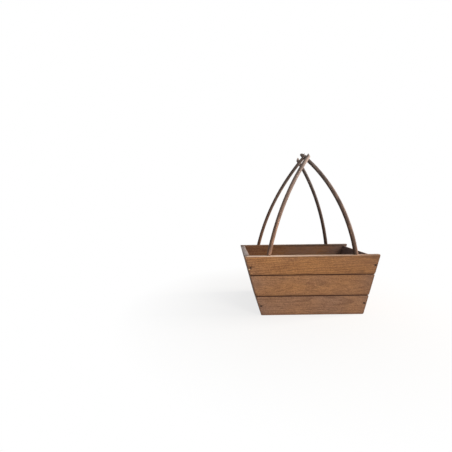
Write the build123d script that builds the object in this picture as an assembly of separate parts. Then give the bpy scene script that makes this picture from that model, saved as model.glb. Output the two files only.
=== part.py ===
from build123d import *
import math
import os

# A garden trug: a nailed box of V-jointed tongue-and-groove boards with splayed ends,
# carried by four bent rods that rise from the rims of the long sides and cross at the top.
# The origin is the middle of the underside. X runs along the box, Y from front to back.

# Box, outside
top_length = 400.0
box_depth = 246.0
box_height = 179.0
splay_angle = 15.0

# Boards, all ripped from one stock
board_thickness = 14.0
board_cover = 63.0
tongue_length = 5.0
tongue_width = 4.4
tongue_side_clearance = 0.1
tongue_end_clearance = 0.6
tongue_chamfer = 0.8
joint_chamfer = 1.75
rim_chamfer = 1.6
inner_edge_chamfer = 0.7

# Right end, which stands a little below the rim
right_end_drop = 6.0

# Wire nails
corner_nail_length = 38.0
corner_nail_radius = 1.1
corner_nail_head_radius = 2.3
nail_head_thickness = 1.1
nail_head_sink = 0.4
nail_point_length = 3.2
nail_clearance = 0.05
nail_hole_overrun = 0.6
upper_nail_below_rim_left = 35.0
upper_nail_below_rim_right = 31.0
lower_nail_above_base_left = 29.0
lower_nail_above_base_right = 34.0
base_nail_length = 35.0
base_nail_height = 8.0

# Handle rods, shaved to a tenon at the foot and tapering to the tip
rod_sections = 7
spacing_steps = 6
tenon_radius = 4.0
tenon_length = 28.0
tenon_clearance = 0.1
tenon_hole_overrun = 1.0
rod_foot_inset = 0.5
tip_cut_angle = 40.0

# Each rod's foot along X, its lean from upright there, its length beyond the crossing, and its radii
rod_front_left_foot = -128.3
rod_front_left_lean = 15.2
rod_front_left_overrun = 9.0
rod_front_left_foot_radius = 6.1
rod_front_left_tip_radius = 6.0
rod_front_right_foot = 130.0
rod_front_right_lean = 9.0
rod_front_right_overrun = 22.0
rod_front_right_foot_radius = 6.4
rod_front_right_tip_radius = 5.8
rod_back_left_foot = -131.8
rod_back_left_lean = 15.4
rod_back_left_overrun = 25.5
rod_back_left_foot_radius = 5.7
rod_back_left_tip_radius = 5.1
rod_back_right_foot = 122.2
rod_back_right_lean = 10.9
rod_back_right_overrun = 9.0
rod_back_right_foot_radius = 6.0
rod_back_right_tip_radius = 5.2

# Where the front and the back pairs of rods cross, and the gaps left where rods pass each other
front_crossing_x = 12.2
front_crossing_rise = 298.0
back_crossing_x = -5.8
back_crossing_rise = 292.0
crossing_clearance = 0.2
passing_clearance = 0.3

# Nails through the crossings
crossing_nail_radius = 0.9
crossing_nail_head_radius = 1.9
crossing_nail_length = 19.0
centre_nail_proud = 8.8
centre_nail_back_setback = 12.5
centre_nail_front_setback = 3.5

# Overrun of every cutting body beyond what it cuts
cut_overrun = 2.0

# Worked out from the sizes above
splay = math.radians(splay_angle)
half_depth = box_depth / 2
half_top = top_length / 2
half_base = half_top - box_height * math.tan(splay)
inner_depth = box_depth - 2 * board_thickness
end_slope_height = (box_height - board_thickness * math.sin(splay)) / math.cos(splay)
groove_width = tongue_width + 2 * tongue_side_clearance
groove_depth = tongue_length + tongue_end_clearance
base_ripped_width = inner_depth / 2 - board_cover
rod_foot_y = half_depth - board_thickness / 2 - rod_foot_inset


def board_profile(height, tongue_on_top, groove_below, lower_chamfer, upper_chamfer, inner_chamfer):
    """Cross-section of one board: first coordinate from its inner to its outer face, second upwards."""
    middle = board_thickness / 2
    outline = [(0, 0)]
    if groove_below:
        outline += [
            (middle - groove_width / 2, 0),
            (middle - groove_width / 2, groove_depth),
            (middle + groove_width / 2, groove_depth),
            (middle + groove_width / 2, 0),
        ]
    outline += [
        (board_thickness - lower_chamfer, 0),
        (board_thickness, lower_chamfer),
        (board_thickness, height - upper_chamfer),
        (board_thickness - upper_chamfer, height),
    ]
    if tongue_on_top:
        outline += [
            (middle + tongue_width / 2, height),
            (middle + tongue_width / 2, height + tongue_length - tongue_chamfer),
            (middle + tongue_width / 2 - tongue_chamfer, height + tongue_length),
            (middle - tongue_width / 2 + tongue_chamfer, height + tongue_length),
            (middle - tongue_width / 2, height + tongue_length - tongue_chamfer),
            (middle - tongue_width / 2, height),
        ]
    outline += [(inner_chamfer, height), (0, height - inner_chamfer)]
    return [point for number, point in enumerate(outline) if point != outline[number - 1]]


def board(profile, plane, length):
    """A board of the given cross-section, laid on a plane and run both ways from it."""
    return extrude(plane * make_face(Polyline(*profile, close=True)), amount=length / 2, both=True)


def course_profiles(height):
    """Lower, middle and upper boards of a wall: the middle one whole, the outer two ripped to fit."""
    ripped = (height - board_cover) / 2
    lower = board_profile(ripped, True, False, rim_chamfer, joint_chamfer, 0)
    middle = board_profile(board_cover, True, True, joint_chamfer, joint_chamfer, 0)
    upper = board_profile(ripped, False, True, joint_chamfer, rim_chamfer, inner_edge_chamfer)
    return {"lower": (lower, 0), "middle": (middle, ripped), "upper": (upper, ripped + board_cover)}


def end_line(side, offset, height):
    """Place along X of the line that lies offset inside an end's outer face, at a height."""
    return side * (half_base - offset / math.cos(splay) + height * math.tan(splay))


def long_side(side):
    """The boards of the front or back wall, cut to the splay at both ends."""
    outline = [
        (-half_base, 0),
        (half_base, 0),
        (half_top, box_height),
        (-half_top, box_height),
    ]
    wedge = extrude(Plane.XZ * make_face(Polyline(*outline, close=True)), amount=box_depth, both=True)
    boards = {}
    for course, (profile, foot) in course_profiles(box_height).items():
        plane = Plane(
            origin=(0, side * (half_depth - board_thickness), foot),
            x_dir=(0, side, 0),
            z_dir=(side, 0, 0),
        )
        boards[course] = board(profile, plane, top_length) & wedge
    return boards


def end_wall(side, drop):
    """The boards of one splayed end, square-cut at rim and foot, between the long sides."""
    outward = Vector(side * math.cos(splay), 0, -math.sin(splay))
    upward = Vector(side * math.sin(splay), 0, math.cos(splay))
    boards = {}
    for course, (profile, foot) in course_profiles(end_slope_height).items():
        if course == "upper":
            height = end_slope_height - foot - drop / math.cos(splay)
            profile = board_profile(height, False, True, joint_chamfer, rim_chamfer, inner_edge_chamfer)
        corner = Vector(side * half_base, 0, 0) - outward * board_thickness + upward * foot
        plane = Plane(origin=corner, x_dir=outward, z_dir=outward.cross(upward))
        boards[course] = board(profile, plane, inner_depth)
    return boards


def base_boards():
    """The floor: whole boards in the middle, ripped ones beside them, bevelled against the ends."""
    inner_foot = end_line(1, board_thickness, 0)
    inner_top = end_line(1, board_thickness, board_thickness)
    outline = [
        (-inner_foot, 0),
        (inner_foot, 0),
        (inner_top, board_thickness),
        (-inner_top, board_thickness),
    ]
    wedge = extrude(Plane.XZ * make_face(Polyline(*outline, close=True)), amount=box_depth, both=True)
    widths = [base_ripped_width, board_cover, board_cover, base_ripped_width]
    names = ["front", "centre_front", "centre_back", "back"]
    boards = {}
    place = -inner_depth / 2
    for number, (name, width) in enumerate(zip(names, widths)):
        first = number == 0
        last = number == len(names) - 1
        near_chamfer = 0 if first else joint_chamfer
        far_chamfer = 0 if last else joint_chamfer
        profile = board_profile(width, not last, not first, near_chamfer, far_chamfer, 0)
        plane = Plane(origin=(0, place, 0), x_dir=(0, 0, 1), z_dir=(-1, 0, 0))
        boards[name] = board(profile, plane, 2 * inner_top + cut_overrun) & wedge
        place += width
    return boards


def nail(head, direction, length, radius, head_radius):
    """A wire nail with its head's outer face at a point, driven along a direction."""
    outline = [
        (0, 0),
        (head_radius, 0),
        (head_radius, nail_head_thickness),
        (radius, nail_head_thickness),
        (radius, length - nail_point_length),
        (0, length),
    ]
    shape = revolve(Plane.XZ * make_face(Polyline(*outline, close=True)), Axis.Z)
    return Plane(origin=head, z_dir=direction) * shape


def nail_hole(head, direction, length, radius, head_radius):
    """What a nail takes out of the wood: its shank, its head and the dent above the head."""
    shank = Cylinder(
        radius + nail_clearance,
        length + nail_hole_overrun,
        align=(Align.CENTER, Align.CENTER, Align.MIN),
    )
    dent_depth = nail_head_thickness + nail_head_sink + cut_overrun
    dent = Cylinder(
        head_radius + nail_clearance,
        dent_depth,
        align=(Align.CENTER, Align.CENTER, Align.MIN),
    )
    dent = Pos(0, 0, nail_head_thickness - dent_depth) * dent
    return Plane(origin=head, z_dir=direction) * (shank + dent)


def corner_nail_places(side):
    """Heads of the four nails of a long side, in the middle of the end boards' thickness."""
    heights = [
        (-1, box_height - upper_nail_below_rim_left, "upper"),
        (1, box_height - upper_nail_below_rim_right, "upper"),
        (-1, lower_nail_above_base_left, "lower"),
        (1, lower_nail_above_base_right, "lower"),
    ]
    places = []
    for end, height, course in heights:
        x = end_line(end, board_thickness / 2, height)
        head = Vector(x, side * (half_depth - nail_head_sink), height)
        places.append((end, course, head, Vector(0, -side, 0)))
    return places


def base_nail_places(side):
    """Heads of the nails through an end into the floor boards, one into the middle of each."""
    outer_row = board_cover + base_ripped_width / 2
    rows = [-outer_row, -board_cover / 2, board_cover / 2, outer_row]
    x = end_line(side, 0, base_nail_height - corner_nail_head_radius) - side * nail_head_sink
    return [(Vector(x, y, base_nail_height), Vector(-side, 0, 0)) for y in rows]


class Rod:
    """One bent rod: a single arc in an upright plane, from its foot on the rim to its crossing."""

    def __init__(self, foot, target, lean, overrun, foot_radius, tip_radius):
        self.foot = foot
        self.foot_radius = foot_radius
        self.tip_radius = tip_radius
        reach = Vector(target.X - foot.X, target.Y - foot.Y, 0)
        self.heading = reach.normalized()
        rise = target.Z - foot.Z
        chord = math.hypot(reach.length, rise)
        self.lean = math.radians(lean)
        self.crossing_turn = 2 * (math.atan2(reach.length, rise) - self.lean)
        self.bend_radius = chord / (2 * math.sin(self.crossing_turn / 2))
        self.full_turn = self.crossing_turn + overrun / self.bend_radius

    def point(self, turn):
        """The middle of the rod after the given turn from the foot."""
        along = self.bend_radius * (math.cos(self.lean) - math.cos(self.lean + turn))
        up = self.bend_radius * (math.sin(self.lean + turn) - math.sin(self.lean))
        return self.foot + self.heading * along + Vector(0, 0, up)

    def direction(self, turn):
        """The way that the rod runs there."""
        angle = self.lean + turn
        return self.heading * math.sin(angle) + Vector(0, 0, math.cos(angle))

    def radius(self, turn):
        """The rod's own radius there, tapering evenly along its length."""
        return self.foot_radius + (self.tip_radius - self.foot_radius) * turn / self.full_turn

    def depth(self, turn, direction):
        """How far the surface lies from the rod's middle there, along a direction."""
        return self.radius(turn) / self.direction(turn).cross(direction).length

    def solid(self):
        """The tapering rod, cut flat on the rim, with its tenon below and a slanting cut at its tip."""
        start = -2 * self.foot_radius * math.tan(self.lean) / self.bend_radius
        tip_run = self.tip_radius / math.tan(math.radians(tip_cut_angle))
        end = self.full_turn + tip_run / self.bend_radius
        side = self.heading.cross(Vector(0, 0, 1))
        sections = []
        for step in range(rod_sections):
            turn = start + (end - start) * step / (rod_sections - 1)
            plane = Plane(origin=self.point(turn), x_dir=side, z_dir=self.direction(turn))
            sections.append(plane * Circle(self.radius(turn)))
        body = loft(sections)
        below = Plane.XY.offset(box_height) * Box(
            top_length,
            box_depth,
            box_height,
            align=(Align.CENTER, Align.CENTER, Align.MAX),
        )
        body = body - below
        # The slanting cut at the tip: its plane holds the middle line's end and faces the rod's right.
        tip = self.point(self.full_turn)
        along = self.direction(self.full_turn)
        cut_angle = math.radians(tip_cut_angle)
        facing = along * math.sin(cut_angle) + side * math.cos(cut_angle)
        waste_size = 2 * tip_run + 4 * self.foot_radius
        waste = Plane(origin=tip, x_dir=side, z_dir=facing) * Box(
            waste_size,
            waste_size,
            waste_size,
            align=(Align.CENTER, Align.CENTER, Align.MIN),
        )
        body = body - waste
        tenon = Pos(self.foot.X, self.foot.Y, box_height - tenon_length) * Cylinder(
            tenon_radius,
            tenon_length + self.foot_radius / 2,
            align=(Align.CENTER, Align.CENTER, Align.MIN),
        )
        return body + tenon

    def tenon_hole(self):
        """The blind hole in the rim that the rod's tenon stands in."""
        depth = tenon_length + tenon_hole_overrun
        return Pos(self.foot.X, self.foot.Y, box_height - depth) * Cylinder(
            tenon_radius + tenon_clearance,
            depth + cut_overrun,
            align=(Align.CENTER, Align.CENTER, Align.MIN),
        )


def pair_nail(rod, outward):
    """Head, direction and length of the nail driven through one rod of a pair into the other."""
    surface = rod.point(rod.crossing_turn) + outward * (rod.radius(rod.crossing_turn) - nail_head_sink)
    return surface, outward * -1, crossing_nail_length


def centre_nail(back_rod, front_rod):
    """Head, direction and length of the nail that runs from a back rod through a front one."""
    back_turn = back_rod.full_turn - centre_nail_back_setback / back_rod.bend_radius
    front_turn = front_rod.full_turn - centre_nail_front_setback / front_rod.bend_radius
    between = front_rod.point(front_turn) - back_rod.point(back_turn)
    direction = between.normalized()
    head_depth = back_rod.depth(back_turn, direction) - nail_head_sink
    length = head_depth + between.length + front_rod.depth(front_turn, direction) + centre_nail_proud
    return back_rod.point(back_turn) - direction * head_depth, direction, length


def crossing_pair(crossing, over, under):
    """Two rods that cross there, touching, the first one lying over the second."""
    guides = [Rod(foot, crossing, *shape) for foot, shape in (over, under)]
    directions = [guide.direction(guide.crossing_turn) for guide in guides]
    across = directions[0].cross(directions[1]).normalized()
    if across.Z < 0:
        across = across * -1
    spread = sum(guide.radius(guide.crossing_turn) for guide in guides) + crossing_clearance
    rods = []
    for way, (foot, shape) in ((1, over), (-1, under)):
        rods.append(Rod(foot, crossing + across * (way * spread / 2), *shape))
    return rods[0], rods[1], across


front_left_shape = (
    rod_front_left_lean,
    rod_front_left_overrun,
    rod_front_left_foot_radius,
    rod_front_left_tip_radius,
)
front_right_shape = (
    rod_front_right_lean,
    rod_front_right_overrun,
    rod_front_right_foot_radius,
    rod_front_right_tip_radius,
)
back_left_shape = (
    rod_back_left_lean,
    rod_back_left_overrun,
    rod_back_left_foot_radius,
    rod_back_left_tip_radius,
)
back_right_shape = (
    rod_back_right_lean,
    rod_back_right_overrun,
    rod_back_right_foot_radius,
    rod_back_right_tip_radius,
)


def front_pair(crossing_y):
    """The front-left rod over the front-right one, crossing at a place along Y."""
    return crossing_pair(
        Vector(front_crossing_x, crossing_y, box_height + front_crossing_rise),
        (Vector(rod_front_left_foot, -rod_foot_y, box_height), front_left_shape),
        (Vector(rod_front_right_foot, -rod_foot_y, box_height), front_right_shape),
    )


def back_pair(crossing_y):
    """The back-right rod over the back-left one, crossing at a place along Y."""
    return crossing_pair(
        Vector(back_crossing_x, crossing_y, box_height + back_crossing_rise),
        (Vector(rod_back_right_foot, rod_foot_y, box_height), back_right_shape),
        (Vector(rod_back_left_foot, rod_foot_y, box_height), back_left_shape),
    )


# The pairs stand so far apart that the front-right and back-left rods just pass side by side
half_spacing = rod_front_left_foot_radius + rod_back_left_foot_radius
for step in range(spacing_steps):
    rod_front_left, rod_front_right, front_across = front_pair(-half_spacing)
    rod_back_right, rod_back_left, back_across = back_pair(half_spacing)
    front_tip = rod_front_right.full_turn
    back_tip = rod_back_left.full_turn
    apart = rod_back_left.direction(back_tip).cross(rod_front_right.direction(front_tip)).normalized()
    separation = (rod_back_left.point(back_tip) - rod_front_right.point(front_tip)).dot(apart)
    wanted = rod_front_right.radius(front_tip) + rod_back_left.radius(back_tip) + passing_clearance
    half_spacing += (wanted - abs(separation)) / abs(apart.Y) / 2
rods = {
    "front_left": rod_front_left,
    "front_right": rod_front_right,
    "back_left": rod_back_left,
    "back_right": rod_back_right,
}
print("bend radii", {name: round(rod.bend_radius, 1) for name, rod in rods.items()})
print("half spacing of the pairs", round(half_spacing, 2))

# Walls and floor
walls = {
    "front_board": long_side(-1),
    "back_board": long_side(1),
    "left_end_board": end_wall(-1, 0),
    "right_end_board": end_wall(1, right_end_drop),
}
floor = base_boards()
nails = {}

# Corner nails, through the long sides into the edges of the end boards
corner_nail = (corner_nail_length, corner_nail_radius, corner_nail_head_radius)
for wall, side in (("front", -1), ("back", 1)):
    group = []
    for end, course, head, direction in corner_nail_places(side):
        hole = nail_hole(head, direction, *corner_nail)
        end_name = "left_end_board" if end < 0 else "right_end_board"
        walls[f"{wall}_board"][course] -= hole
        walls[end_name][course] -= hole
        group.append(nail(head, direction, *corner_nail))
    nails[f"{wall}_corner_nails"] = group

# Base nails, through the ends into the floor boards
base_nail = (base_nail_length, corner_nail_radius, corner_nail_head_radius)
for end_name, side in (("left", -1), ("right", 1)):
    group = []
    for board_name, (head, direction) in zip(floor, base_nail_places(side)):
        hole = nail_hole(head, direction, *base_nail)
        walls[f"{end_name}_end_board"]["lower"] -= hole
        floor[board_name] -= hole
        group.append(nail(head, direction, *base_nail))
    nails[f"{end_name}_base_nails"] = group

# Rods in their holes in the rims
rod_solids = {name: rod.solid() for name, rod in rods.items()}
for name, rod in rods.items():
    walls["front_board" if name.startswith("front") else "back_board"]["upper"] -= rod.tenon_hole()

# Nails at the crossings: one through each pair from behind, and one that joins the pairs and stands proud
nails["crossing_nails"] = []
crossing_nails = [
    pair_nail(rod_front_right, front_across * -1) + ("front_right", "front_left"),
    pair_nail(rod_back_right, back_across) + ("back_right", "back_left"),
    centre_nail(rod_back_left, rod_front_right) + ("back_left", "front_right"),
]
for head, direction, length, first_rod, second_rod in crossing_nails:
    size = (length, crossing_nail_radius, crossing_nail_head_radius)
    hole = nail_hole(head, direction, *size)
    rod_solids[first_rod] -= hole
    rod_solids[second_rod] -= hole
    nails["crossing_nails"].append(nail(head, direction, *size))

os.makedirs("parts", exist_ok=True)
for wall, boards in walls.items():
    for course, shape in boards.items():
        export_step(shape, f"parts/{wall}_{course}.step")
for name, shape in floor.items():
    export_step(shape, f"parts/base_board_{name}.step")
for name, group in nails.items():
    export_step(Compound(group), f"parts/{name}.step")
for name, shape in rod_solids.items():
    export_step(shape, f"parts/handle_rod_{name}.step")
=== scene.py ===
import math

import bmesh
import bpy
from bpy.props import FloatProperty, FloatVectorProperty, IntProperty, PointerProperty
from mathutils import Matrix, Vector, noise


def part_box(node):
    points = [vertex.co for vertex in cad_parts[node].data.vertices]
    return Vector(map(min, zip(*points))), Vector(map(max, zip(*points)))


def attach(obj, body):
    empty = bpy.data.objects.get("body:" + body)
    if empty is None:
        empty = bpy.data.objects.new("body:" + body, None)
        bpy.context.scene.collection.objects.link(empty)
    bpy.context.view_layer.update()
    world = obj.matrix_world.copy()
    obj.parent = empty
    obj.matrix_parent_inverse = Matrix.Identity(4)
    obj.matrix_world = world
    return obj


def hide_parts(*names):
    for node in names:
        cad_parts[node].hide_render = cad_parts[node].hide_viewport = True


bl_info = {
    "name": "Garden trug",
    "version": (1, 0, 0),
    "blender": (4, 5, 0),
    "location": "3D View > Sidebar > Trug",
    "description": "Planed and stained boards, bent rods, wire nails and a studio for a nailed garden trug",
    "category": "Add Mesh",
}

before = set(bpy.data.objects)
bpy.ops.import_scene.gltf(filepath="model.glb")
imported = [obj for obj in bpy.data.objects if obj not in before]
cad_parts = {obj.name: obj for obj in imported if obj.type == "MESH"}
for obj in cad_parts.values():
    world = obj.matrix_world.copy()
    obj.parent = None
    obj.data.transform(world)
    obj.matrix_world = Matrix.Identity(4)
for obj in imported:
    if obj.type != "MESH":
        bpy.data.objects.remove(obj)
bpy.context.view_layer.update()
MM = 0.001

# The box, read from the frame
RIM_LOW, RIM_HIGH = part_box("front_board_upper")
FOOT_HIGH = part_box("front_board_lower")[1]
HALF_DEPTH = -RIM_LOW.y
BOX_HEIGHT = RIM_HIGH.z
SPLAY = math.atan2(RIM_HIGH.x - FOOT_HIGH.x, RIM_HIGH.z - FOOT_HIGH.z)
HALF_BASE = RIM_HIGH.x - BOX_HEIGHT * math.tan(SPLAY)
BOARD_THICKNESS = RIM_HIGH.y - RIM_LOW.y

# How the solids are read: what counts as one point, one plane, an edge and the end of a rod or nail
SAME_POINT = 0.003 * MM
SAME_PLANE = math.radians(0.6)
SHARP_EDGE = math.radians(25)
AT_END = 0.1 * MM
SMOOTH_UP_TO = math.radians(38)


def linear(hex_colour):
    """Turns an sRGB hex colour into linear RGBA."""
    channels = [int(hex_colour[start:start + 2], 16) / 255 for start in (1, 3, 5)]
    return tuple(c / 12.92 if c <= 0.04045 else ((c + 0.055) / 1.055) ** 2.4 for c in channels) + (1.0,)


def colour_property(name, description, hex_colour):
    """A colour that a user may change."""
    colour = {"subtype": "COLOR", "size": 4, "min": 0.0, "max": 1.0, "default": linear(hex_colour)}
    return FloatVectorProperty(name=name, description=description, **colour)


def length_property(name, description, millimetres):
    """A length that a user may change."""
    length = {"unit": "LENGTH", "min": 0.0, "precision": 5, "default": millimetres * MM}
    return FloatProperty(name=name, description=description, **length)


def angle_property(name, description, degrees):
    """An angle that a user may change."""
    return FloatProperty(name=name, description=description, subtype="ANGLE", default=math.radians(degrees))


class TrugBoardSettings(bpy.types.PropertyGroup):
    """Planed softwood boards under one coat of walnut stain."""

    light_stain: colour_property("Light stain", "Stain where the wood took little of it", "#A67542")
    dark_stain: colour_property("Dark stain", "Stain where the wood took most of it", "#734A2B")
    # Grey stain also paints a paler patch of light on the back's inner face
    grey_stain_and_light: colour_property("Grey stain", "Stain on boards that have weathered", "#91705B")
    dark_grey_stain: colour_property("Dark grey stain", "The same where the wood took most of it", "#664A3A")
    joint_shade: colour_property("Joint shade", "Stain that pooled in the V joints", "#361A0A")
    # Worn and bleached wood colour the rim: partly wear, partly a painted highlight where the rim faces the
    # lamps
    worn_wood: colour_property("Worn wood", "Handled edges along the rim", "#DEC8B6")
    bleached_wood: colour_property("Bleached wood", "Rim that handling and sun have greyed", "#E4D6D0")
    # Soaked stain also paints shade: on the left end's outer face and over the right half of the front
    soaked_stain: colour_property("Soaked stain", "Smudges where the wood took more stain", "#5E402A")
    # A grey laid over the right end's inner face and over a patch of the back's inner face towards the right
    # end
    damp_stain: colour_property("Damp stain", "Stain that damp has greyed inside the box", "#756663")
    # Iron stain also paints a shadow along the back's inner face under the rim
    iron_stain_and_shadow: colour_property("Iron stain", "Wood darkened round a nail", "#33261E")
    raw_wood: colour_property("Raw wood", "Wood bared by a chip", "#E6CDA6")
    ring_spacing: length_property("Ring spacing", "Width of a growth ring", 5.0)
    fibre_width: length_property("Fibre width", "Width of a streak of fibres", 1.5)
    fibre_length: length_property("Fibre length", "Length of a streak of fibres", 34.0)
    mottle_width: length_property("Mottle width", "Width of a fleck of stain between fibres", 2.2)
    mottle_length: length_property("Mottle length", "Length of a fleck of stain between fibres", 3.6)
    edge_round: length_property("Edge rounding", "Radius that sanding left on the edges", 0.5)
    waviness: length_property("Waviness", "Depth of the planer's waves", 0.12)
    rim_wear: length_property("Rim wear", "Depth of the wear along the rim", 0.45)
    wear_reach: length_property("Wear reach", "How far the wear reaches down from the rim", 3.0)
    corner_wear: length_property("Corner wear", "Reach of the wear on the boards' corners", 2.8)
    strip_width: length_property("Strip width", "Width of the strips that each face is made of", 8.0)
    joint_chamfer: length_property("Joint chamfer", "Width of each side of a V joint", 1.75)
    end_stain_reach: length_property("End stain reach", "How far stain reaches from a board's ends", 5.0)
    foot_stain_reach: length_property("Foot stain reach", "How far stain reaches up from a joint", 9.0)


class TrugRodSettings(bpy.types.PropertyGroup):
    """Bent willow rods with their bark on."""

    bark: colour_property("Bark", "Bark on the main of a rod", "#5C4A41")
    dark_bark: colour_property("Dark bark", "Bark in its furrows", "#3B302B")
    pale_bark: colour_property("Pale bark", "Bark where hands have rubbed it", "#937360")
    cut_wood: colour_property("Cut wood", "End of a rod, cut and stained", "#7C6558")
    girth: length_property("Girth", "Radius that the bark's pattern is laid round", 6.0)
    tenon_radius: length_property("Tenon radius", "Radius of the tenon in the rim", 4.0)
    bark_relief: length_property("Bark relief", "Height of the bark's ridges", 0.28)
    scar_size: length_property("Bud scar size", "Radius of a bud scar", 1.7)
    rings: IntProperty(name="Rings", description="Rings of points along a rod", default=150, min=20, max=400)
    sides: IntProperty(name="Sides", description="Points round a rod", default=28, min=8, max=64)


class TrugNailSettings(bpy.types.PropertyGroup):
    """Wire nails, gone dull."""

    steel: colour_property("Steel", "Dull steel of the nails", "#2B2521")
    rust: colour_property("Rust", "First rust on the nails", "#211711")
    box_shank_radius: length_property("Box shank radius", "Shank of the nails in the box", 1.1)
    box_head_radius: length_property("Box head radius", "Head of the nails in the box", 2.3)
    rod_shank_radius: length_property("Rod shank radius", "Shank of the nails in the rods", 0.9)
    rod_head_radius: length_property("Rod head radius", "Head of the nails in the rods", 1.9)
    rod_head_lift: length_property("Rod head lift", "How far a head stands off a rod, over its bark", 0.75)
    head_thickness: length_property("Head thickness", "Thickness of a head", 1.1)
    point_length: length_property("Point length", "Length of a nail's point", 3.2)


class TrugStudioSettings(bpy.types.PropertyGroup):
    """Floor, lamps and camera."""

    floor: colour_property("Floor", "Colour of the floor", "#F4F3F1")
    lens: FloatProperty(name="Lens", description="Focal length for a 36 mm sensor", default=22.68, min=5)
    camera_place: FloatVectorProperty(
        name="Camera place",
        description="Where the camera stands",
        subtype="TRANSLATION",
        unit="LENGTH",
        default=(-0.25512, -0.95031, 0.32655),
    )
    camera_pitch: angle_property("Pitch", "How far the camera looks down", 3.997)
    camera_yaw: angle_property("Yaw", "How far the camera turns to the left", -0.0864)
    camera_roll: angle_property("Roll", "How far the camera leans over", -0.7171)


# Objects and nodes

MATH = "ShaderNodeMath"
VECTOR_MATH = "ShaderNodeVectorMath"
MAP_RANGE = "ShaderNodeMapRange"
NOISE = "ShaderNodeTexNoise"
ATTRIBUTE = "ShaderNodeAttribute"
COMPARE = "FunctionNodeCompare"
BOOLEAN_MATH = "FunctionNodeBooleanMath"
STORE_ATTRIBUTE = "GeometryNodeStoreNamedAttribute"


def add(tree, kind, values=None, *inputs):
    """Adds a node. Values name its properties or inputs, or are just its operation, and inputs are given in
    their order. A node or socket is linked in: a node stands for its first output in use, and all that a
    list holds goes to one input."""
    node = tree.nodes.new(kind)
    if isinstance(values, str):
        values = {"operation": values}
    for name, value in (*(values or {}).items(), *enumerate(inputs)):
        sources = value if isinstance(value, list) else [value]
        if isinstance(sources[0], (bpy.types.Node, bpy.types.NodeSocket)):
            for source in sources:
                if isinstance(source, bpy.types.Node):
                    source = next(socket for socket in source.outputs if socket.enabled)
                tree.links.new(source, node.inputs[name])
        elif isinstance(name, str) and hasattr(node, name):
            setattr(node, name, value)
        else:
            node.inputs[name].default_value = value
    return node


def patterned(tree, place, size, detail, roughness=0.5):
    """Noise whose swellings have a size along each axis."""
    stretched = add(tree, VECTOR_MATH, "DIVIDE", place, size)
    return add(tree, NOISE, {"Scale": 1.0, "Detail": detail, "Roughness": roughness, "Vector": stretched})


def layered(tree, colour, layers):
    """A colour with others laid over it, each by its share."""
    for share, layer in layers:
        colour = add(tree, "ShaderNodeMix", {"data_type": "RGBA", 0: share, 6: colour, 7: layer})
    return colour


def placed(name, data):
    """An object in the scene that shows a mesh, a lamp or a camera."""
    new_object = bpy.data.objects.new(name, data)
    bpy.context.scene.collection.objects.link(new_object)
    return new_object


def new_piece(name, mesh, material, nodes):
    """Makes a mesh an object of the trug that stands for its solids."""
    mesh.name = name
    mesh.shade_smooth()
    mesh.set_sharp_from_angle(angle=SMOOTH_UP_TO)
    piece = placed(name, mesh)
    mesh.materials.clear()
    mesh.materials.append(material)
    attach(piece, "root")
    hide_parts(*nodes)


def new_material(name):
    """An empty material and its tree."""
    material = bpy.data.materials.new(name)
    material.use_nodes = True
    material.node_tree.nodes.clear()
    return material, material.node_tree


def merged(node):
    """A solid of the frame as one closed mesh with its flat faces whole."""
    solid = bmesh.new()
    solid.from_mesh(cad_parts[node].data)
    bmesh.ops.remove_doubles(solid, verts=solid.verts, dist=SAME_POINT)
    bmesh.ops.dissolve_limit(solid, angle_limit=SAME_PLANE, verts=solid.verts[:], edges=solid.edges[:])
    return solid


def islands(solid):
    """The separate bodies of a mesh, each as a list of its points."""
    left = set(solid.verts)
    found = []
    for start in solid.verts:
        if start not in left:
            continue
        left.remove(start)
        body = []
        edge_of_search = [start]
        while edge_of_search:
            vert = edge_of_search.pop()
            body.append(vert)
            for edge in vert.link_edges:
                other = edge.other_vert(vert)
                if other in left:
                    left.remove(other)
                    edge_of_search.append(other)
        found.append([vert.co.copy() for vert in body])
    return found


def nail_lines(node):
    """Head and point of each nail of a node, read from its solid."""
    solid = merged(node)
    lines = []
    for points in islands(solid):
        centre = sum(points, Vector()) / len(points)
        point = max(points, key=lambda place: (place - centre).length)
        back = (centre - point).normalized()
        reach = max((place - point).dot(back) for place in points)
        rim = [place for place in points if (place - point).dot(back) > reach - AT_END]
        lines.append((sum(rim, Vector()) / len(rim), point))
    solid.free()
    return sorted(lines, key=lambda line: (round(line[0].x, 3), round(line[0].z, 3)))


# Boards


class Wall:
    """A wall of boards: its nodes from the foot up, the directions that its boards run in, how much wear its
    rim has at the boards' first and last end, which also sets its painted highlight, and how far another
    colour is laid over its outer and its inner face, painted shade on the left end's outer face and a grey
    on the right end's inner face."""

    def __init__(self, nodes, origin, along, upward, outward, wear=(0.0, 0.0), soak=(0.0, 0.0)):
        self.nodes = nodes
        self.wear = wear
        self.soak = soak
        self.origin = Vector(origin)
        self.axes = (Vector(along), Vector(upward), Vector(outward))
        # Only an upright wall has boards whose ends lean out
        self.end_slope = abs(along[0]) * upward[2] * math.tan(SPLAY)

    def local(self, place):
        """Place along the boards, up the wall, and inwards from its outer face."""
        away = place - self.origin
        along, upward, outward = self.axes
        return Vector((away.dot(along), away.dot(upward), -away.dot(outward)))

    def span(self, node):
        """Lowest and highest local corner of a board."""
        places = [self.local(vert.co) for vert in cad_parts[node].data.vertices]
        return [Vector([pick(place[axis] for place in places) for axis in range(3)]) for pick in (min, max)]


def boards(name, places=("lower", "middle", "upper")):
    """The nodes of a wall's boards."""
    return [f"{name}_board_{place}" for place in places]


def long_wall(name, side, wear):
    """The front, with side -1, or the back, with side 1."""
    return Wall(boards(name), (0, side * HALF_DEPTH, 0), (-side, 0, 0), (0, 0, 1), (0, side, 0), wear)


def end_wall(name, side, wear, soak):
    """The left end, with side -1, or the right one, with side 1."""
    across, up = math.sin(SPLAY), math.cos(SPLAY)
    axes = ((0, side, 0), (side * across, 0, up), (side * up, 0, -across))
    return Wall(boards(name), (side * HALF_BASE, 0, 0), *axes, wear, soak)


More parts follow.
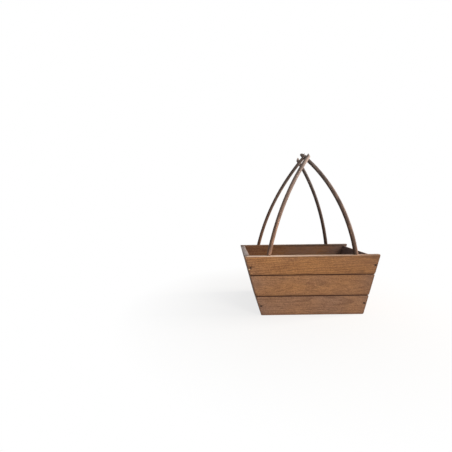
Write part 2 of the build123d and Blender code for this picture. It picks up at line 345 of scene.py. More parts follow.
BASE_BOARDS = boards("base", ("front", "centre_front", "centre_back", "back"))
WALLS = {
    "front": long_wall("front", -1, wear=(1.4, 0.2)),
    "back": long_wall("back", 1, wear=(0.45, 0.65)),
    # The left end's outer face gets a darker stain over it: painted shade, as that face is turned away from
    # the lamps
    "left": end_wall("left_end", -1, wear=(2.6, 2.6), soak=(0.65, 0.0)),
    "right": end_wall("right_end", 1, wear=(0.6, 0.6), soak=(0.0, 0.9)),
    "base": Wall(BASE_BOARDS, (0, BOARD_THICKNESS - HALF_DEPTH, 0), (1, 0, 0), (0, 1, 0), (0, 0, -1)),
}

# Where the heart of each board's log lay: up from the board's middle, behind its face,
# and how far it drifts up and inwards for each metre of board
LOG_HEARTS = {
    "front_board_lower": (16 * MM, 30 * MM, -0.09, 0.05),
    "front_board_middle": (-4 * MM, 22 * MM, 0.03, 0.07),
    "front_board_upper": (-46 * MM, 34 * MM, 0.02, -0.04),
}
# The other hearts: how far they are spread up, inwards and in drift, their usual depth, where in the noise
# they are drawn, and how far apart one board's draw and grain lie from the next one's
HEART_SPREAD = Vector((22 * MM, 14 * MM, 0.05))
HEART_DEPTH = 34 * MM
HEART_DRAWS = ((3.1, 6.1), (3.1, 14.4), (3.1, 21.8))
HEART_STEP = 1.7
LOG_APART = 0.9

# How grey a board has gone and how plainly its rings show, with the usual values
GREYNESS = {"front_board_lower": 0.66, "front_board_middle": 0.32, "front_board_upper": 0.0}
USUAL_GREYNESS = 0.35
FIGURE = {"front_board_lower": 0.8, "front_board_middle": 0.6, "front_board_upper": 1.0}
USUAL_FIGURE = 0.7
# How much greyer a board is at its ends, how far in from them, and how much more or less in patches
END_GREY = 0.5
END_GREY_REACH = 60 * MM
GREY_PATCHES = 0.35

# The joints' shade: how deep it lies and how it falls off, in widths of the chamfer, and that of end grain
SHADE_DEPTH = 1.4
SHADE_AT_JOINT = 2.4
SHADE_FALL = 2
END_SHADE = 0.55

# How much of the rim's wear its inner edge gets, how much reaches down the inner faces, its most, and how
# much of it is lost at a board's ends; the same share lays the rim's pale colour, which is partly a painted
# highlight
INNER_EDGE_WEAR = 0.3
INNER_WEAR = 0.1
MOST_WEAR = 1.25
END_WEAR_LOSS = 0.4
# How deep the wear goes at a corner that was knocked, by board and whether it is the far end, and elsewhere
CORNER_WEAR = {("front_board_lower", True): 1.3}
USUAL_CORNER_WEAR = 0.4

# Edges are rounded when they are longer than this many times the rounding
SHORTEST_ROUNDED = 12
# How fine the patches of grey, the planer's waves and the bites of wear are, for each metre along each axis,
# and how far those of one board lie from the next one's in the noise
GREY_FINENESS, GREY_STEP = (9, 22, 22), (3, 0, 0)
WAVE_FINENESS, WAVE_STEP = (14, 60, 60), (0, 0, 7)
BITE_FINENESS, BITE_STEP = (55, 40, 1), (5, 0, 0)
BITE_LEVEL = 1.5


def uneven(place, fineness, step, number):
    """Noise from -1 to 1 at a place on a board, as fine along each axis as given."""
    return noise.noise(Vector([at * fine + by * number for at, fine, by in zip(place, fineness, step)]))


def log_heart(node, number):
    """The heart of the log that a board was cut from, drawn from the board's number where none is given."""
    if node in LOG_HEARTS:
        return LOG_HEARTS[node]
    up, deep, drift = (noise.noise(Vector((number * HEART_STEP, *draw))) for draw in HEART_DRAWS)
    return (
        up * HEART_SPREAD.x,
        HEART_DEPTH + deep * HEART_SPREAD.y,
        drift * HEART_SPREAD.z,
        (deep - up) * HEART_SPREAD.z / 2,
    )


def cut_across(solid, direction, place):
    """Cuts a mesh square to a direction, at a place along it."""
    bmesh.ops.bisect_plane(
        solid,
        geom=solid.verts[:] + solid.edges[:] + solid.faces[:],
        dist=SAME_POINT,
        plane_co=direction * place,
        plane_no=direction,
    )


def cut_strips(solid, direction, low, high, width):
    """Cuts a mesh into strips of a width, square to a direction."""
    count = max(1, round((high - low) / width))
    for number in range(1, count):
        cut_across(solid, direction, low + (high - low) * number / count)


def sawn_solid(wall, node, settings):
    """A board's solid with its long edges sanded round, cut into strips that are fine enough to shape."""
    solid = merged(node)
    shortest = SHORTEST_ROUNDED * settings.edge_round
    long_edges = [
        edge
        for edge in solid.edges
        if edge.is_manifold and edge.calc_face_angle() > SHARP_EDGE and edge.calc_length() > shortest
    ]
    bmesh.ops.bevel(
        solid,
        geom=long_edges,
        offset=settings.edge_round,
        offset_type="OFFSET",
        segments=2,
        profile=0.5,
        affect="EDGES",
        clamp_overlap=True,
    )
    low, high = wall.span(node)
    for axis, direction in enumerate(wall.axes[:2]):
        start = direction.dot(wall.origin)
        cut_strips(solid, direction, start + low[axis], start + high[axis], settings.strip_width)
    if node.endswith("upper"):
        cut_across(solid, direction, start + high.y - settings.wear_reach)
    solid.normal_update()
    return solid


def rim_wear(wall, place, low, high, upright, settings):
    """How much wear an upper board has at a place, whose normal looks up the wall as far as upright says;
    the same share paints the rim's highlight. The wear is full for half of its reach."""
    share = (place.x - low.x) / (high.x - low.x)
    wear = wall.wear[0] + (wall.wear[1] - wall.wear[0]) * share
    wear *= min(1.0, max(0.0, 2 - 2 * (high.y - place.y) / settings.wear_reach))
    wear *= 1 - (1 - INNER_EDGE_WEAR) * min(1.0, place.z / BOARD_THICKNESS)
    if place.z > BOARD_THICKNESS / 2:
        wear *= min(1.0, max(INNER_WEAR, 2 * upright))
    return min(MOST_WEAR, wear)


def planed_board(wall, node, number, settings):
    """One board: its sawn solid with the planer's waves, a rim with wear and a painted highlight, and its
    grain laid along it.
    """
    solid = sawn_solid(wall, node, settings)
    low, high = wall.span(node)
    middle = (low.y + high.y) / 2
    joints = [wall.span(other)[0].y for other in wall.nodes[1:]]
    heart_up, heart_deep, drift_up, drift_deep = log_heart(node, number)
    directions = {"grain": [], "margin": []}
    looks = {"joint": [], "worn": [], "grey": [], "figure": [], "soak": []}
    for vert in solid.verts:
        place = wall.local(vert.co)
        inside = place.z > BOARD_THICKNESS / 2
        rings = place.y - middle - heart_up - drift_up * place.x
        depth = place.z - heart_deep - drift_deep * place.x
        directions["grain"] += [place.x + LOG_APART * number, rings, depth]
        from_end = high.x - (high.y - place.y) * wall.end_slope - abs(place.x)
        directions["margin"] += [from_end, place.y - low.y, 0.0]

        joint_distance = min(abs(place.y - joint) for joint in joints)
        end_grain = min(1.0, 2 * abs(vert.normal.dot(wall.axes[0])))
        shade = END_SHADE * end_grain
        if place.z < SHADE_DEPTH * settings.joint_chamfer:
            in_joint = SHADE_AT_JOINT - SHADE_FALL * joint_distance / settings.joint_chamfer
            shade = max(shade, min(1.0, in_joint))
        near_end = max(0.0, 1 - min(place.x - low.x, high.x - place.x) / END_GREY_REACH)
        wear = 0.0
        if node.endswith("upper"):
            wear = rim_wear(wall, place, low, high, vert.normal.dot(wall.axes[1]), settings)
            wear *= 1 - END_WEAR_LOSS * near_end
        patch = uneven(place, GREY_FINENESS, GREY_STEP, number)
        grey = GREYNESS.get(node, USUAL_GREYNESS) + END_GREY * near_end**2 + GREY_PATCHES * patch
        values = {
            "joint": shade,
            "worn": wear,
            "grey": min(1.0, max(0.0, grey)),
            "figure": FIGURE.get(node, USUAL_FIGURE),
            "soak": wall.soak[inside],
        }
        for name, value in values.items():
            looks[name].append(value)

        wave = 0.5 + 0.5 * uneven(place, WAVE_FINENESS, WAVE_STEP, number)
        bite = max(0.0, uneven((place.x, place.z, BITE_LEVEL), BITE_FINENESS, BITE_STEP, number))
        vert.co -= vert.normal * (settings.waviness * wave + settings.rim_wear * bite * wear)
        edge_distance = min(abs(place.y - low.y), abs(place.y - high.y), joint_distance)
        corner = max(0.0, 1 - edge_distance / settings.corner_wear) * end_grain
        if corner > 0 and not inside:
            knocked = CORNER_WEAR.get((node, place.x > 0), USUAL_CORNER_WEAR)
            depth_share = 1.0 if edge_distance == joint_distance else knocked
            vert.co -= wall.axes[0] * math.copysign(corner * settings.corner_wear * depth_share, place.x)
    mesh = bpy.data.meshes.new(node)
    solid.to_mesh(mesh)
    solid.free()
    for name, values in directions.items():
        mesh.attributes.new(name, "FLOAT_VECTOR", "POINT").data.foreach_set("vector", values)
    for name, values in looks.items():
        mesh.attributes.new(name, "FLOAT", "POINT").data.foreach_set("value", values)
    return mesh


# Size of the patterns along a board and across it: of the noise that bends the rings, of blotches and flecks
BEND_SIZE = (200 * MM, 33.333 * MM, 33.333 * MM)
BLOTCH_SIZE = (62.5 * MM, 23.81 * MM, 23.81 * MM)
FLECK_SIZE = (14.286 * MM, 3.03 * MM, 3.03 * MM)
# How far that noise bends the rings, how sharp their late wood is, how much each pattern adds to the stain's
# darkness, and how ragged the marks' edges are
RING_BEND = 13 * MM
LATE_WOOD_POWER = 2.2
RING_SHARE, BLOTCH_SHARE, FIBRE_SHARE, MOTTLE_SHARE = 0.22, 0.32, 0.6, 0.9
RAGGEDNESS = 1.4


def stained_softwood(name, settings, marks, worn_wood, face_shade_and_tone_colour, sheen):
    """Planed spruce or pine under one coat of walnut stain: a dull brown, with the rings and streaks of
    fibres showing through, stain pooled in the joints, and marks such as iron stain round the nails. The
    rim's pale colour is partly wear and partly a painted highlight, and some marks and the colour laid over
    a whole face are painted light and shade. Each mark has a place, its reach along X, Y and Z, a colour and
    a strength."""
    material, tree = new_material(name)
    grain, margins = (
        add(tree, ATTRIBUTE, {"attribute_name": label}).outputs["Vector"] for label in ("grain", "margin")
    )
    figure, grey, joint, worn, soak = (
        add(tree, ATTRIBUTE, {"attribute_name": label}).outputs["Fac"]
        for label in ("figure", "grey", "joint", "worn", "soak")
    )
    object_place = add(tree, "ShaderNodeTexCoord").outputs["Object"]

    # Growth rings: the distance from the log's heart, bent by slow noise, dark at each ring's end
    bend = patterned(tree, grain, BEND_SIZE, 2.0).outputs["Color"]
    centred = add(tree, VECTOR_MATH, "SUBTRACT", bend, (0.5, 0.5, 0.5))
    drift = add(tree, VECTOR_MATH, "MULTIPLY", centred, (0, RING_BEND, RING_BEND))
    bent = add(tree, VECTOR_MATH, "ADD", grain, drift)
    across = add(tree, VECTOR_MATH, "MULTIPLY", bent, (0, 1, 1))
    from_heart = add(tree, VECTOR_MATH, "LENGTH", across)
    ring_count = add(tree, MATH, "DIVIDE", from_heart, settings.ring_spacing)
    ring_place = add(tree, MATH, "FRACT", ring_count)
    late_wood = add(tree, MATH, "POWER", ring_place, LATE_WOOD_POWER)

    # Streaks of fibres, blotches of stain and short dark flecks
    fibre_size = (settings.fibre_length, settings.fibre_width, settings.fibre_width)
    fibres = patterned(tree, grain, fibre_size, 4.0, 0.62)
    blotches = patterned(tree, grain, BLOTCH_SIZE, 3.0, 0.55)
    fleck_noise = patterned(tree, grain, FLECK_SIZE, 1.0)
    flecks = add(tree, MAP_RANGE, {"From Min": 0.64, "From Max": 0.8, "To Max": 0.4, "Value": fleck_noise})
    patched = add(tree, MATH, "MULTIPLY", blotches, BLOTCH_SHARE)
    ring_share = add(tree, MATH, "MULTIPLY", figure, RING_SHARE)
    ringed = add(tree, MATH, "MULTIPLY_ADD", late_wood, ring_share, patched)
    streaked = add(tree, MATH, "MULTIPLY_ADD", fibres, FIBRE_SHARE, ringed)
    # Stain caught between raised fibres, drawn some five times coarser than it is, so that it shows
    mottle_size = (settings.mottle_length, settings.mottle_width, settings.mottle_width)
    mottle = patterned(tree, grain, mottle_size, 2.0, 0.6)
    darkness = add(tree, MATH, "MULTIPLY_ADD", mottle, MOTTLE_SHARE, streaked)
    stain = add(tree, MAP_RANGE, {"From Min": 0.79, "From Max": 1.14, "Value": darkness})

    # What time and the nails did to it, with painted shade, painted light and the rim's painted highlight
    # among them, each laid over the last
    greyed = layered(tree, settings.grey_stain_and_light, [(stain, settings.dark_grey_stain)])
    margin = add(tree, "ShaderNodeSeparateXYZ", {}, margins).outputs
    end_reach = {"From Max": settings.end_stain_reach, "To Min": 0.5, "To Max": 0.0}
    end_stain = add(tree, MAP_RANGE, {**end_reach, "Value": margin["X"]})
    foot_reach = {"From Min": settings.joint_chamfer, "From Max": settings.foot_stain_reach}
    foot_stain = add(tree, MAP_RANGE, {**foot_reach, "To Min": 0.42, "To Max": 0.0, "Value": margin["Y"]})
    layers = [
        (stain, settings.dark_stain),
        (grey, greyed),
        # A colour over a whole face: painted shade on the left end's outer face, a grey on the right end's
        # inner face
        (soak, face_shade_and_tone_colour),
        (flecks, settings.iron_stain_and_shadow),
        (end_stain, settings.soaked_stain),
        (foot_stain, settings.soaked_stain),
    ]
    for place, reach, mark_colour, strength in marks:
        away = add(tree, VECTOR_MATH, "SUBTRACT", object_place, place)
        scaled = add(tree, VECTOR_MATH, "DIVIDE", away, reach)
        distance = add(tree, VECTOR_MATH, "LENGTH", scaled)
        ragged = add(tree, MATH, "MULTIPLY_ADD", fleck_noise, RAGGEDNESS, distance)
        fade = {"From Min": 0.9, "From Max": 1.7, "To Min": strength, "To Max": 0.0}
        layers.append((add(tree, MAP_RANGE, {**fade, "Value": ragged}), mark_colour))
    # The rim's pale colour: partly wear, partly a painted highlight where the rim's top catches the lamps
    patchy = add(tree, MAP_RANGE, {"From Min": 0.3, "From Max": 0.62, "To Min": 0.6, "Value": fibres})
    wear_and_highlight_share = add(tree, MATH, "MULTIPLY", worn, patchy)
    layers += [(wear_and_highlight_share, worn_wood), (joint, settings.joint_shade)]
    gloss = {"From Min": 0.25, "From Max": 0.75, "To Min": 0.5, "To Max": 0.72}
    look = {
        "IOR": 1.45,
        "Specular IOR Level": sheen,
        "Base Color": layered(tree, settings.light_stain, layers),
        "Roughness": add(tree, MAP_RANGE, {**gloss, "Value": fibres}),
        "Normal": add(tree, "ShaderNodeBump", {"Strength": 0.55, "Distance": 0.35 * MM, "Height": darkness}),
    }
    add(tree, "ShaderNodeOutputMaterial", {"Surface": add(tree, "ShaderNodeBsdfPrincipled", look)})
    return material


# Boards are numbered through all walls, with this many numbers kept for each
MOST_BOARDS = 10
# Reach along X, Y and Z of the stain round a nail and of a chip, and how deep the marks on the back's inner
# face reach, painted light and shade among them
NAIL_MARK = (3.4 * MM, 3.4 * MM, 3.4 * MM)
NAIL_MARK_STRENGTH = 0.85
CHIP = (2.6 * MM, 2.6 * MM, 1.8 * MM)
BACK_MARK_DEPTH = 0.8 * BOARD_THICKNESS


def marks_of_stain_and_light(face, depth, rows):
    """Marks on a long wall's face, by their colour: stains, and also painted light and shade. Each row gives
    a mark's middle along X and Z and its reach along them, in millimetres, and its strength."""
    return [
        ((x * MM, face, z * MM), (reach_x * MM, depth, reach_z * MM), stain, strength)
        for stain, marks in rows.items()
        for x, z, reach_x, reach_z, strength in marks
    ]


class WallOperator:
    """What the board operators share: it dresses the boards of one wall."""

    bl_options = {"REGISTER", "UNDO"}
    wall = ""
    nail_nodes = ()
    stain_and_light_smudges = ()
    chips = ()
    # The rim's colour, partly wear and partly a painted highlight, and the colour laid over a face, which is
    # painted shade on the left end's outer face
    worn = "worn_wood"
    soak = "soaked_stain"
    sheen = 0.3

    def execute(self, context):
        settings = context.scene.trug_boards
        marks = [
            (place, reach, getattr(settings, stain), strength)
            for place, reach, stain, strength in self.stain_and_light_smudges
        ]
        for node in self.nail_nodes:
            heads = [head for head, _ in nail_lines(node)]
            marks += [(head, NAIL_MARK, settings.iron_stain_and_shadow, NAIL_MARK_STRENGTH) for head in heads]
        marks += [(place, CHIP, settings.raw_wood, 1.0) for place in self.chips]
        worn_wood, face_shade_and_tone_colour = getattr(settings, self.worn), getattr(settings, self.soak)
        name = f"walnut_stained_softwood_{self.wall}"
        material = stained_softwood(name, settings, marks, worn_wood, face_shade_and_tone_colour, self.sheen)
        first = MOST_BOARDS * list(WALLS).index(self.wall)
        for number, node in enumerate(WALLS[self.wall].nodes):
            mesh = planed_board(WALLS[self.wall], node, first + number, settings)
            new_piece(f"{node}_planed", mesh, material, [node])
        return {"FINISHED"}


class TRUG_OT_front_boards(WallOperator, bpy.types.Operator):
    """Planes and stains the three boards of the front"""

    bl_idname = "trug.front_boards"
    bl_label = "Front boards"
    wall = "front"
    nail_nodes = ("front_corner_nails",)
    stain_and_light_smudges = marks_of_stain_and_light(
        -HALF_DEPTH,
        BOARD_THICKNESS,
        {
            "soaked_stain": (
                (27, 93, 16, 8, 0.55),
                (44, 88, 9, 5, 0.35),
                (-12, 73, 30, 4, 0.45),
                (-86, 110, 18, 3, 0.5),
                (-163, 93, 14, 16, 0.35),
                (145, 129, 12, 6, 0.5),
                (-67, 135, 10, 3, 0.4),
                (58, 51, 9, 4, 0.5),
                (-100, 27, 32, 3, 0.35),
                (-30, 42, 34, 3, 0.3),
                (92, 30, 30, 3, 0.25),
                # Painted shade: this broad mark darkens the right half of the front, which the lamps light
                # more
                (210, 90, 330, 300, 0.33),
                (196, 170, 44, 26, 0.45),
                (176, 90, 26, 34, 0.25),
                (-105, 62, 130, 75, 0.16),
                (20, 174.5, 190, 4, 0.5),
                (180, 174, 75, 8, 0.5),
            ),
        },
    )
    chips = ((-186.9 * MM, -HALF_DEPTH, 139.2 * MM),)


class TRUG_OT_back_boards(WallOperator, bpy.types.Operator):
    """Planes and stains the three boards of the back"""

    bl_idname = "trug.back_boards"
    bl_label = "Back boards"
    wall = "back"
    nail_nodes = ("back_corner_nails",)
    stain_and_light_smudges = marks_of_stain_and_light(
        HALF_DEPTH - BOARD_THICKNESS,
        BACK_MARK_DEPTH,
        {
            # Painted light: a paler patch over the middle of the inner face
            "grey_stain_and_light": ((20, 140, 110, 60, 0.8),),
            # A grey patch on the inner face towards the right end
            "damp_stain": ((185, 160, 100, 70, 0.6),),
            # Painted shadow: a dark band on the inner face just under the rim
            "iron_stain_and_shadow": ((90, 178, 260, 9, 0.8),),
        },
    )


class TRUG_OT_left_end_boards(WallOperator, bpy.types.Operator):
    """Planes and stains the three boards of the left end"""

    bl_idname = "trug.left_end_boards"
    bl_label = "Left end boards"
    wall = "left"
    nail_nodes = ("left_base_nails",)
    worn = "bleached_wood"
    sheen = 0.02


class TRUG_OT_right_end_boards(WallOperator, bpy.types.Operator):
    """Planes and stains the three boards of the right end"""

    bl_idname = "trug.right_end_boards"
    bl_label = "Right end boards"
    wall = "right"
    nail_nodes = ("right_base_nails",)
    soak = "damp_stain"
    sheen = 0.1


class TRUG_OT_base_boards(WallOperator, bpy.types.Operator):
    """Planes and stains the four boards of the floor"""

    bl_idname = "trug.base_boards"
    bl_label = "Base boards"
    wall = "base"


# Geometry Nodes


def node_tree(name, sockets):
    """A Geometry Nodes tree with inputs, named by their kind, and the sockets that give them."""
    tree = bpy.data.node_groups.new(name, "GeometryNodeTree")
    for kind, labels in sockets.items():
        for label in labels:
            tree.interface.new_socket(name=label, in_out="INPUT", socket_type=kind)
    tree.interface.new_socket(name="Geometry", in_out="OUTPUT", socket_type="NodeSocketGeometry")
    return tree, add(tree, "NodeGroupInput").outputs


def finish_tree(tree, parts, material):
    """Joins what a tree has made, makes it real and gives it its material."""
    joined = add(tree, "GeometryNodeJoinGeometry", {}, parts)
    real = add(tree, "GeometryNodeRealizeInstances", {}, joined)
    finished = add(tree, "GeometryNodeSetMaterial", {"Geometry": real, "Material": material})
    add(tree, "NodeGroupOutput", {}, finished)
    return tree


def grown_mesh(name, tree, values, start=None):
    """Runs a Geometry Nodes tree and returns what it makes as a plain mesh."""
    carrier = placed(name, start or bpy.data.meshes.new(name))
    modifier = carrier.modifiers.new("Grow", "NODES")
    modifier.node_group = tree
    for item in tree.interface.items_tree:
        if item.in_out == "INPUT" and item.name in values:
            modifier[item.identifier] = values[item.name]
    depsgraph = bpy.context.evaluated_depsgraph_get()
    mesh = bpy.data.meshes.new_from_object(
        carrier.evaluated_get(depsgraph),
        preserve_all_data_layers=True,
        depsgraph=depsgraph,
    )
    if not mesh.polygons:
        raise RuntimeError(f"the nodes made nothing for {name}")
    carrier.modifiers.remove(modifier)
    bpy.data.objects.remove(carrier)
    return mesh


# Rods

# Shares of the way from foot to tip where a rod's solid is measured
LOW_CUT, MIDDLE_CUT, HIGH_CUT = 0.2, 0.5, 0.8


def measured_rod(node):
    """Foot, middle and tip of a rod's middle line, the way that its slanting end faces, and its radii at
    foot and tip."""
    solid = merged(node)
    lowest = min(vert.co.z for vert in solid.verts)
    tenon = [vert.co for vert in solid.verts if vert.co.z < lowest + AT_END]
    foot = sum(tenon, Vector()) / len(tenon)
    foot.z = BOX_HEIGHT
    tops = [face for face in solid.faces if face.calc_center_median().z > 2 * BOX_HEIGHT]
    end = max(tops, key=lambda face: face.calc_area())
    tip = end.calc_center_bounds()
    facing = end.normal.copy()
    across = (tip - foot).cross(Vector((0, 0, 1))).normalized()
    centres, radii = [], []
    for level in (LOW_CUT, MIDDLE_CUT, HIGH_CUT):
        cut = bmesh.ops.bisect_plane(
            solid,
            geom=solid.verts[:] + solid.edges[:] + solid.faces[:],
            plane_co=foot.lerp(tip, level),
            plane_no=(0, 0, 1),
        )["geom_cut"]
        section = [item.co for item in cut if isinstance(item, bmesh.types.BMVert)]
        columns = list(zip(*section))
        centres.append(Vector([(min(column) + max(column)) / 2 for column in columns]))
        widths = [place.dot(across) for place in section]
        radii.append((max(widths) - min(widths)) / 2)
    solid.free()
    low, middle, high = centres
    runs = [(end - start).length for start, end in ((foot, low), (low, middle), (middle, high), (high, tip))]
    taper = (radii[0] - radii[2]) / (runs[1] + runs[2])
    return foot, middle, tip, facing, (radii[0] + taper * runs[0], radii[2] - taper * runs[3])


# Shares of a rod's length that tell its end rings from the rest, and where its trimming starts
FIRST_RING, LAST_RING = 0.0001, 0.9999
NEAR_FOOT, NEAR_TIP = 0.05, 0.95
TENON_SIDES = 24
# How far under the tip's plane a point may lie to count as on it, and the share of a face's points that
# makes the whole face bare wood
UNDER_PLANE = -0.02 * MM
WHOLE_FACE = 0.999
RIDGE_FINENESS = (170, 170, 38)
SCAR_SHAPE = (1.0, 0.7, 0.42)


def bent_rod_tree():
    """A bent rod: a tapering tube along an arc, flat on the rim, cut slantwise at its tip, with
    bark ridges, bud scars and a tenon. The tube's points carry their place along and round the rod."""
    tree, given = node_tree(
        "bent_rod",
        {
            "NodeSocketVector": ("Foot", "Middle", "Tip", "Cut Facing"),
            "NodeSocketFloat": ("Foot Radius", "Tip Radius", "Tenon Radius", "Tenon Length", "Paleness")
            + ("Bark Relief", "Scar Size", "Scar Density"),
            "NodeSocketInt": ("Rings", "Sides", "Seed"),
            "NodeSocketMaterial": ("Bark",),
        },
    )
    ends = {"Start": given["Foot"], "Middle": given["Middle"], "End": given["Tip"]}
    line = add(tree, "GeometryNodeCurveArc", {"mode": "POINTS", "Resolution": given["Rings"], **ends})
    along = add(tree, "GeometryNodeSplineParameter").outputs
    radii = {"To Min": given["Foot Radius"], "To Max": given["Tip Radius"]}
    taper = add(tree, MAP_RANGE, {"Value": along["Factor"], **radii})
    for name, kind, source in (
        ("along", "FLOAT", along["Length"]),
        ("share", "FLOAT", along["Factor"]),
        ("paleness", "FLOAT", given["Paleness"]),
        ("heading", "FLOAT_VECTOR", add(tree, "GeometryNodeInputTangent")),
    ):
        stored = {"data_type": kind, "Name": name, "Geometry": line, "Value": source}
        line = add(tree, STORE_ATTRIBUTE, stored)
    circle = add(tree, "GeometryNodeCurvePrimitiveCircle", {"Radius": 1.0, "Resolution": given["Sides"]})
    place = add(tree, "GeometryNodeInputPosition")
    section = {"data_type": "FLOAT_VECTOR", "Name": "section", "Geometry": circle, "Value": place}
    round_rod = add(tree, STORE_ATTRIBUTE, section)
    sweep = {"Fill Caps": True, "Curve": line, "Profile Curve": round_rod, "Scale": taper}
    tube = add(tree, "GeometryNodeCurveToMesh", sweep)
    share, heading = (
        add(tree, "GeometryNodeInputNamedAttribute", {"data_type": kind, "Name": name})
        for kind, name in (("FLOAT", "share"), ("FLOAT_VECTOR", "heading"))
    )

    # Each end: points near it and past its plane, and the whole last ring, slide along the rod onto it
    down = add(tree, "ShaderNodeCombineXYZ", {"Z": -1.0})
    for centre, facing, comparison, last, near in (
        (given["Tip"], given["Cut Facing"], "GREATER_THAN", LAST_RING, NEAR_TIP),
        (given["Foot"], down, "LESS_THAN", FIRST_RING, NEAR_FOOT),
    ):
        away = add(tree, VECTOR_MATH, "SUBTRACT", place, centre)
        height = add(tree, VECTOR_MATH, "DOT_PRODUCT", away, facing)
        slope = add(tree, VECTOR_MATH, "DOT_PRODUCT", heading, facing)
        run = add(tree, MATH, "DIVIDE", height, slope)
        back = add(tree, MATH, "MULTIPLY", run, -1.0)
        slide = add(tree, VECTOR_MATH, {"operation": "SCALE", "Scale": back}, heading)
        past = add(tree, COMPARE, "GREATER_THAN", height, 0.0)
        is_near = add(tree, COMPARE, comparison, share, near)
        trimmed = add(tree, BOOLEAN_MATH, "AND", past, is_near)
        is_last = add(tree, COMPARE, comparison, share, last)
        chosen = add(tree, BOOLEAN_MATH, "OR", trimmed, is_last)
        tube = add(tree, "GeometryNodeSetPosition", {"Geometry": tube, "Selection": chosen, "Offset": slide})

    # Faces with every point on the tip's plane are bare cut wood
    away = add(tree, VECTOR_MATH, "SUBTRACT", place, given["Tip"])
    height = add(tree, VECTOR_MATH, "DOT_PRODUCT", away, given["Cut Facing"])
    on_plane = add(tree, COMPARE, "GREATER_THAN", height, UNDER_PLANE)
    at_tip = add(tree, COMPARE, "GREATER_THAN", share, NEAR_TIP)
    cut = add(tree, BOOLEAN_MATH, "AND", on_plane, at_tip)
    stored = {"data_type": "FLOAT", "Name": "cut"}
    tube = add(tree, STORE_ATTRIBUTE, {**stored, "Geometry": tube, "Value": cut})
    cut_share = add(tree, "GeometryNodeInputNamedAttribute", stored)
    whole = add(tree, COMPARE, "GREATER_THAN", cut_share, WHOLE_FACE)
    tube = add(tree, STORE_ATTRIBUTE, {**stored, "domain": "FACE", "Geometry": tube, "Value": whole})

    # Bark ridges: long low swellings along the rod, none on its ends
    seed_shift = add(tree, "ShaderNodeCombineXYZ", {"X": given["Seed"]})
    stretched = add(tree, VECTOR_MATH, "MULTIPLY_ADD", place, RIDGE_FINENESS, seed_shift)
    ridges = add(tree, NOISE, {"Scale": 1.0, "Detail": 2.0, "Vector": stretched})
    heights = {"From Min": 0.3, "From Max": 0.7, "To Min": 0.3, "To Max": 1.3}
    ridge_height = add(tree, MAP_RANGE, {**heights, "Value": ridges})
    relief = add(tree, MATH, "MULTIPLY", ridge_height, given["Bark Relief"])
    normal = add(tree, "GeometryNodeInputNormal")
    lifted = add(tree, VECTOR_MATH, {"operation": "SCALE", "Scale": relief}, normal)
    past_foot = add(tree, COMPARE, "GREATER_THAN", share, FIRST_RING)
    before_tip = add(tree, COMPARE, "LESS_THAN", share, LAST_RING)
    between = add(tree, BOOLEAN_MATH, "AND", past_foot, before_tip)
    barked = add(tree, "GeometryNodeSetPosition", {"Geometry": tube, "Selection": between, "Offset": lifted})

    # Bud scars: low oval swellings, scattered over the bark
    spread = {"distribute_method": "RANDOM", "Density": given["Scar Density"], "Seed": given["Seed"]}
    scattered = add(tree, "GeometryNodeDistributePointsOnFaces", {**spread, "Mesh": barked})
    ball = add(tree, "GeometryNodeMeshIcoSphere", {"Subdivisions": 3, "Radius": given["Scar Size"]})
    scarred = {"data_type": "FLOAT", "Name": "scar", "Value": 1.0, "Geometry": ball}
    marked = add(tree, STORE_ATTRIBUTE, scarred)
    scars = add(
        tree,
        "GeometryNodeInstanceOnPoints",
        {
            "Scale": SCAR_SHAPE,
            "Points": scattered,
            "Instance": marked,
            "Rotation": scattered.outputs["Rotation"],
        },
    )

    # The tenon, which stands in the rim
    tenon_size = {"Radius": given["Tenon Radius"], "Depth": given["Tenon Length"]}
    tenon = add(tree, "GeometryNodeMeshCylinder", {"Vertices": TENON_SIDES, **tenon_size})
    half_tenon = add(tree, MATH, "MULTIPLY", given["Tenon Length"], -0.5)
    half_down = add(tree, "ShaderNodeCombineXYZ", {"Z": half_tenon})
    tenon_place = add(tree, VECTOR_MATH, "ADD", given["Foot"], half_down)
    seated = add(tree, "GeometryNodeTransform", {"Geometry": tenon, "Translation": tenon_place})
    return finish_tree(tree, [seated, scars, barked], given["Bark"])


# Size of the bark's patterns round a rod and along it
STREAK_SIZE = (2.381 * MM, 2.381 * MM, 45.455 * MM)
PATCH_SIZE = (11.111 * MM, 11.111 * MM, 38.462 * MM)
SPECK_SIZE = (3.846 * MM, 3.846 * MM, 7.692 * MM)


